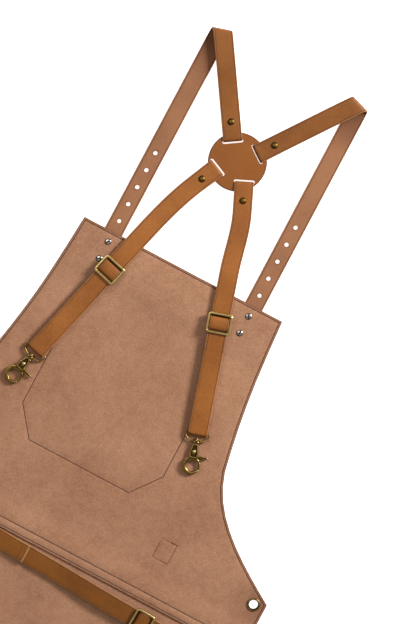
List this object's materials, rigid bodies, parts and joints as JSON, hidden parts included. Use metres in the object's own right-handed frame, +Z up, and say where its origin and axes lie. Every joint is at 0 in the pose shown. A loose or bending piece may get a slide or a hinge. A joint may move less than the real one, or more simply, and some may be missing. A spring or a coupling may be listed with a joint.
{
  "type": "butcher apron",
  "caption": "Leather bib apron laid flat with its suede side up: cross-back harness on a round back disk, slide buckles, trigger hooks, waist belt and waist grommets.",
  "frame": {"origin": "centre of the bottom of the bounding box, on the surface that the apron lies on", "axes": "+Z up through the apron to its suede side, +Y from hem to bib, +X to the right seen from above"},
  "size_m": [0.6, 1.1222, 0.0158],
  "materials": {
    "suede_leather": "suede flesh side, matte",
    "strap_leather": "smooth grain, satin",
    "antique_brass": "antique plated, rubbed bright on the edges",
    "nickel_plate": "dull nickel plate",
    "spring_steel": "bare spring wire"
  },
  "bodies": {
    "apron": {"bib_panel": "suede_leather", "skirt_panel": "suede_leather", "chest_pocket": "suede_leather", "front_patch": "suede_leather", "back_disk": "strap_leather", "shoulder_strap_left": "strap_leather", "shoulder_strap_right": "strap_leather", "lower_strap_left": "strap_leather", "lower_strap_right": "strap_leather", "belt_left": "strap_leather", "belt_right": "strap_leather", "rivet_cap_upper_left": "antique_brass", "rivet_post_upper_left": "antique_brass", "rivet_cap_upper_right": "antique_brass", "rivet_post_upper_right": "antique_brass", "rivet_cap_lower_left": "antique_brass", "rivet_post_lower_left": "antique_brass", "rivet_cap_lower_right": "antique_brass", "rivet_post_lower_right": "antique_brass", "screw_post_bib_left_1": "nickel_plate", "screw_bib_left_1": "nickel_plate", "screw_post_bib_left_2": "nickel_plate", "screw_bib_left_2": "nickel_plate", "screw_post_bib_right_1": "nickel_plate", "screw_bib_right_1": "nickel_plate", "screw_post_bib_right_2": "nickel_plate", "screw_bib_right_2": "nickel_plate", "screw_post_belt_1": "nickel_plate", "screw_belt_1": "nickel_plate", "screw_post_belt_2": "nickel_plate", "screw_belt_2": "nickel_plate", "grommet_eyelet_left": "antique_brass", "grommet_washer_left": "antique_brass", "grommet_eyelet_right": "antique_brass", "grommet_washer_right": "antique_brass"},
    "slide_left": {"slide_frame_left": "antique_brass", "slide_bar_left": "antique_brass"},
    "strap_end_left": {"strap_end_left": "strap_leather"},
    "hook_eye_left": {"hook_eye_left": "antique_brass"},
    "hook_left": {"hook_body_left": "antique_brass", "hook_pin_left": "antique_brass", "hook_spring_left": "spring_steel"},
    "trigger_left": {"hook_trigger_left": "antique_brass"},
    "slide_right": {"slide_frame_right": "antique_brass", "slide_bar_right": "antique_brass"},
    "strap_end_right": {"strap_end_right": "strap_leather"},
    "hook_eye_right": {"hook_eye_right": "antique_brass"},
    "hook_right": {"hook_body_right": "antique_brass", "hook_pin_right": "antique_brass", "hook_spring_right": "spring_steel"},
    "trigger_right": {"hook_trigger_right": "antique_brass"},
    "slide_belt": {"slide_frame_belt": "antique_brass", "slide_bar_belt": "antique_brass"},
    "strap_end_belt": {"strap_end_belt": "strap_leather"},
    "hook_eye_belt": {"hook_eye_belt": "antique_brass"},
    "hook_belt": {"hook_body_belt": "antique_brass", "hook_pin_belt": "antique_brass", "hook_spring_belt": "spring_steel"},
    "trigger_belt": {"hook_trigger_belt": "antique_brass"}
  },
  "joints": [
    {"name": "slide_left_along_strap", "type": "slide", "parent": "apron", "child": "slide_left", "axis": [0.2537, 0.9672, 0.0105], "range_m": [-0.015, 0.05]},
    {"name": "strap_end_left_shift", "type": "slide", "parent": "apron", "child": "strap_end_left", "axis": [0.2537, 0.9672, 0.0105], "range_m": [-0.0075, 0.025]},
    {"name": "hook_eye_left_tilt", "type": "hinge", "parent": "strap_end_left", "child": "hook_eye_left", "pos_m": [-0.11872, 0.0782, 0.00744], "axis": [-0.9673, 0.2538, 0], "range_deg": [0, 120]},
    {"name": "hook_left_swivel", "type": "hinge", "parent": "hook_eye_left", "child": "hook_left", "pos_m": [-0.11872, 0.0782, 0.00744], "axis": [-0.2537, -0.9672, -0.0105], "range_deg": [-4, 4]},
    {"name": "trigger_left_press", "type": "hinge", "parent": "hook_left", "child": "trigger_left", "pos_m": [-0.12507, 0.05402, 0.00718], "axis": [0.0027, 0.0101, -0.9999], "range_deg": [0, 18], "stiffness_Nm_per_rad": 0.02},
    {"name": "slide_right_along_strap", "type": "slide", "parent": "apron", "child": "slide_right", "axis": [-0.2907, 0.9568, 0.0105], "range_m": [-0.015, 0.05]},
    {"name": "strap_end_right_shift", "type": "slide", "parent": "apron", "child": "strap_end_right", "axis": [-0.2907, 0.9568, 0.0105], "range_m": [-0.0075, 0.025]},
    {"name": "hook_eye_right_tilt", "type": "hinge", "parent": "strap_end_right", "child": "hook_eye_right", "pos_m": [0.11554, 0.08113, 0.0074], "axis": [-0.9568, -0.2907, 0], "range_deg": [0, 120]},
    {"name": "hook_right_swivel", "type": "hinge", "parent": "hook_eye_right", "child": "hook_right", "pos_m": [0.11554, 0.08113, 0.0074], "axis": [0.2907, -0.9568, -0.0105], "range_deg": [-4, 4]},
    {"name": "trigger_right_press", "type": "hinge", "parent": "hook_right", "child": "trigger_right", "pos_m": [0.12281, 0.05721, 0.00713], "axis": [-0.003, 0.01, -0.9999], "range_deg": [0, 18], "stiffness_Nm_per_rad": 0.02},
    {"name": "slide_belt_along_strap", "type": "slide", "parent": "apron", "child": "slide_belt", "axis": [-0.9991, 0.041, 0.0105], "range_m": [-0.015, 0.05]},
    {"name": "strap_end_belt_shift", "type": "slide", "parent": "apron", "child": "strap_end_belt", "axis": [-0.9991, 0.041, 0.0105], "range_m": [-0.0075, 0.025]},
    {"name": "hook_eye_belt_tilt", "type": "hinge", "parent": "strap_end_belt", "child": "hook_eye_belt", "pos_m": [0.23954, -0.17229, 0.00813], "axis": [-0.041, -0.9992, 0], "range_deg": [0, 120]},
    {"name": "hook_belt_swivel", "type": "hinge", "parent": "hook_eye_belt", "child": "hook_belt", "pos_m": [0.23954, -0.17229, 0.00813], "axis": [0.9991, -0.041, -0.0105], "range_deg": [-4, 4]},
    {"name": "trigger_belt_press", "type": "hinge", "parent": "hook_belt", "child": "trigger_belt", "pos_m": [0.26452, -0.17331, 0.00787], "axis": [-0.0105, 0.0004, -0.9999], "range_deg": [0, 18], "stiffness_Nm_per_rad": 0.02}
  ],
  "couplings": [
    {"joint": "strap_end_left_shift", "follows": "slide_left_along_strap", "ratio": 0.5},
    {"joint": "strap_end_right_shift", "follows": "slide_right_along_strap", "ratio": 0.5},
    {"joint": "strap_end_belt_shift", "follows": "slide_belt_along_strap", "ratio": 0.5}
  ]
}
